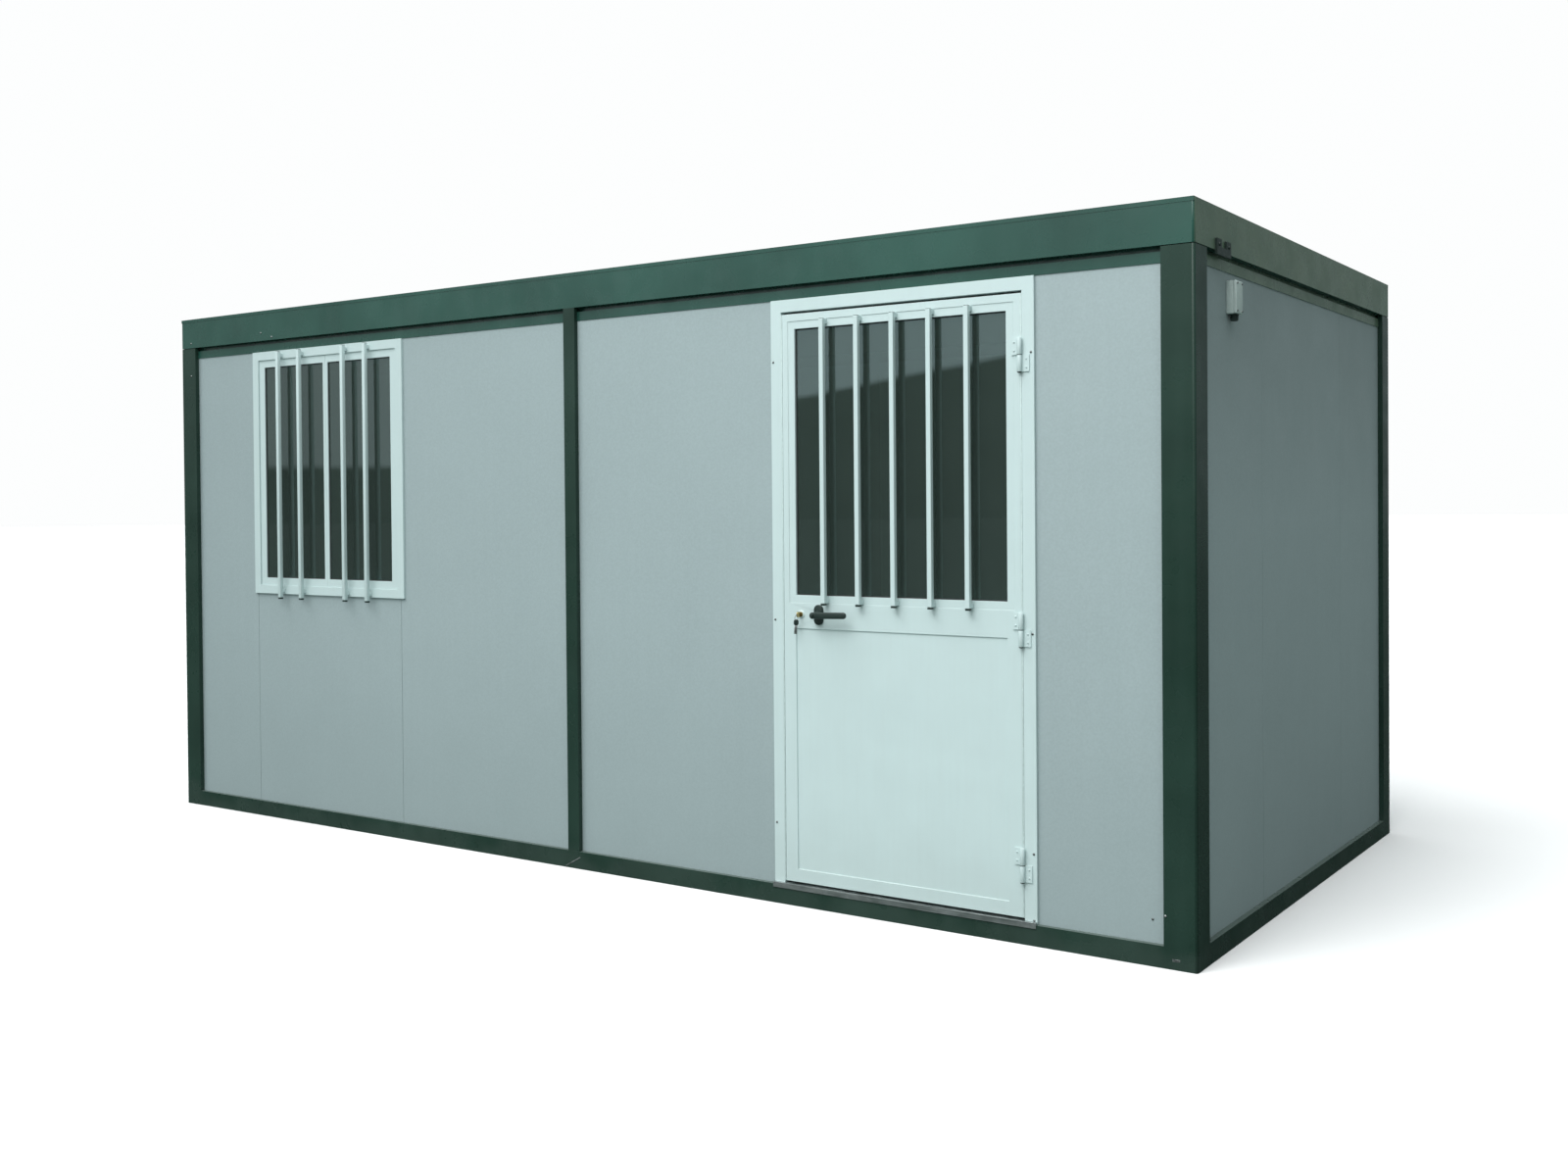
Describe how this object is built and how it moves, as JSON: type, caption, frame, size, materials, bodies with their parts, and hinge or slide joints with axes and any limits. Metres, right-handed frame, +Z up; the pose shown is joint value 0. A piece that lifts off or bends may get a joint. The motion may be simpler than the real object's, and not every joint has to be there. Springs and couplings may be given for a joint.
{
  "type": "portable site cabin",
  "caption": "Flat-roofed portable site cabin: steel frame, grey sandwich-panel walls, a glazed outward-opening door with security bars and a sliding window on the front.",
  "frame": {"origin": "middle of the footprint at ground level", "axes": "+X along the cabin towards the inlet box, -Y out of the front wall with the door and the window, +Z up"},
  "size_m": [5.219, 2.479, 2.4],
  "materials": {
    "green_paint": "gloss enamel on folded steel",
    "panel_coating": "satin coil coating on sandwich panels",
    "white_frame": "white powder coat on aluminium",
    "glass": "clear float glass",
    "galvanised": "galvanised",
    "mill_aluminium": "mill finish",
    "deck": "grey vinyl on plywood",
    "black_plastic": "moulded, satin",
    "grey_plastic": "moulded, satin",
    "lock_brass": "satin"
  },
  "bodies": {
    "cabin": {"base_rail_front": "green_paint", "base_rail_back": "green_paint", "base_rail_left": "green_paint", "base_rail_right": "green_paint", "floor_joists": "galvanised", "floor_deck": "deck", "corner_post_front_left": "green_paint", "corner_post_front_right": "green_paint", "corner_post_back_left": "green_paint", "corner_post_back_right": "green_paint", "mid_post_front": "green_paint", "mid_post_back": "green_paint", "roof_beam_front": "green_paint", "roof_beam_back": "green_paint", "roof_beam_left": "green_paint", "roof_beam_right": "green_paint", "head_rails": "green_paint", "roof_panels": "panel_coating", "wall_panel_front_left": "panel_coating", "wall_panel_under_window": "panel_coating", "wall_panel_beside_window": "panel_coating", "wall_panel_beside_door": "panel_coating", "wall_panel_front_right": "panel_coating", "wall_panels_back": "panel_coating", "wall_panels_left": "panel_coating", "wall_panels_right": "panel_coating", "door_frame": "white_frame", "door_threshold": "mill_aluminium", "hinges_frame_side": "white_frame", "window_frame": "white_frame", "window_sash_left": "white_frame", "window_sash_right": "white_frame", "window_glass": "glass", "inlet_box": "grey_plastic", "power_inlet": "black_plastic", "cable_bracket": "black_plastic", "earth_stud": "galvanised"},
    "door": {"door_leaf": "white_frame", "door_glass": "glass", "door_lower_panel": "white_frame", "door_bars": "white_frame", "door_lever_plates": "black_plastic", "lock_cylinder": "lock_brass", "hinges_leaf_side": "white_frame"},
    "lever": {"door_lever": "black_plastic"}
  },
  "joints": [
    {"name": "door_swing", "type": "hinge", "parent": "cabin", "child": "door", "pos_m": [1.991, -1.22, 0], "axis": [0, 0, 1], "range_deg": [0, 165]},
    {"name": "lever_turn", "type": "hinge", "parent": "door", "child": "lever", "pos_m": [1.188, -1.21, 1.064], "axis": [0, 1, 0], "range_deg": [0, 40], "stiffness_Nm_per_rad": 2, "springref_deg": -17.19}
  ]
}
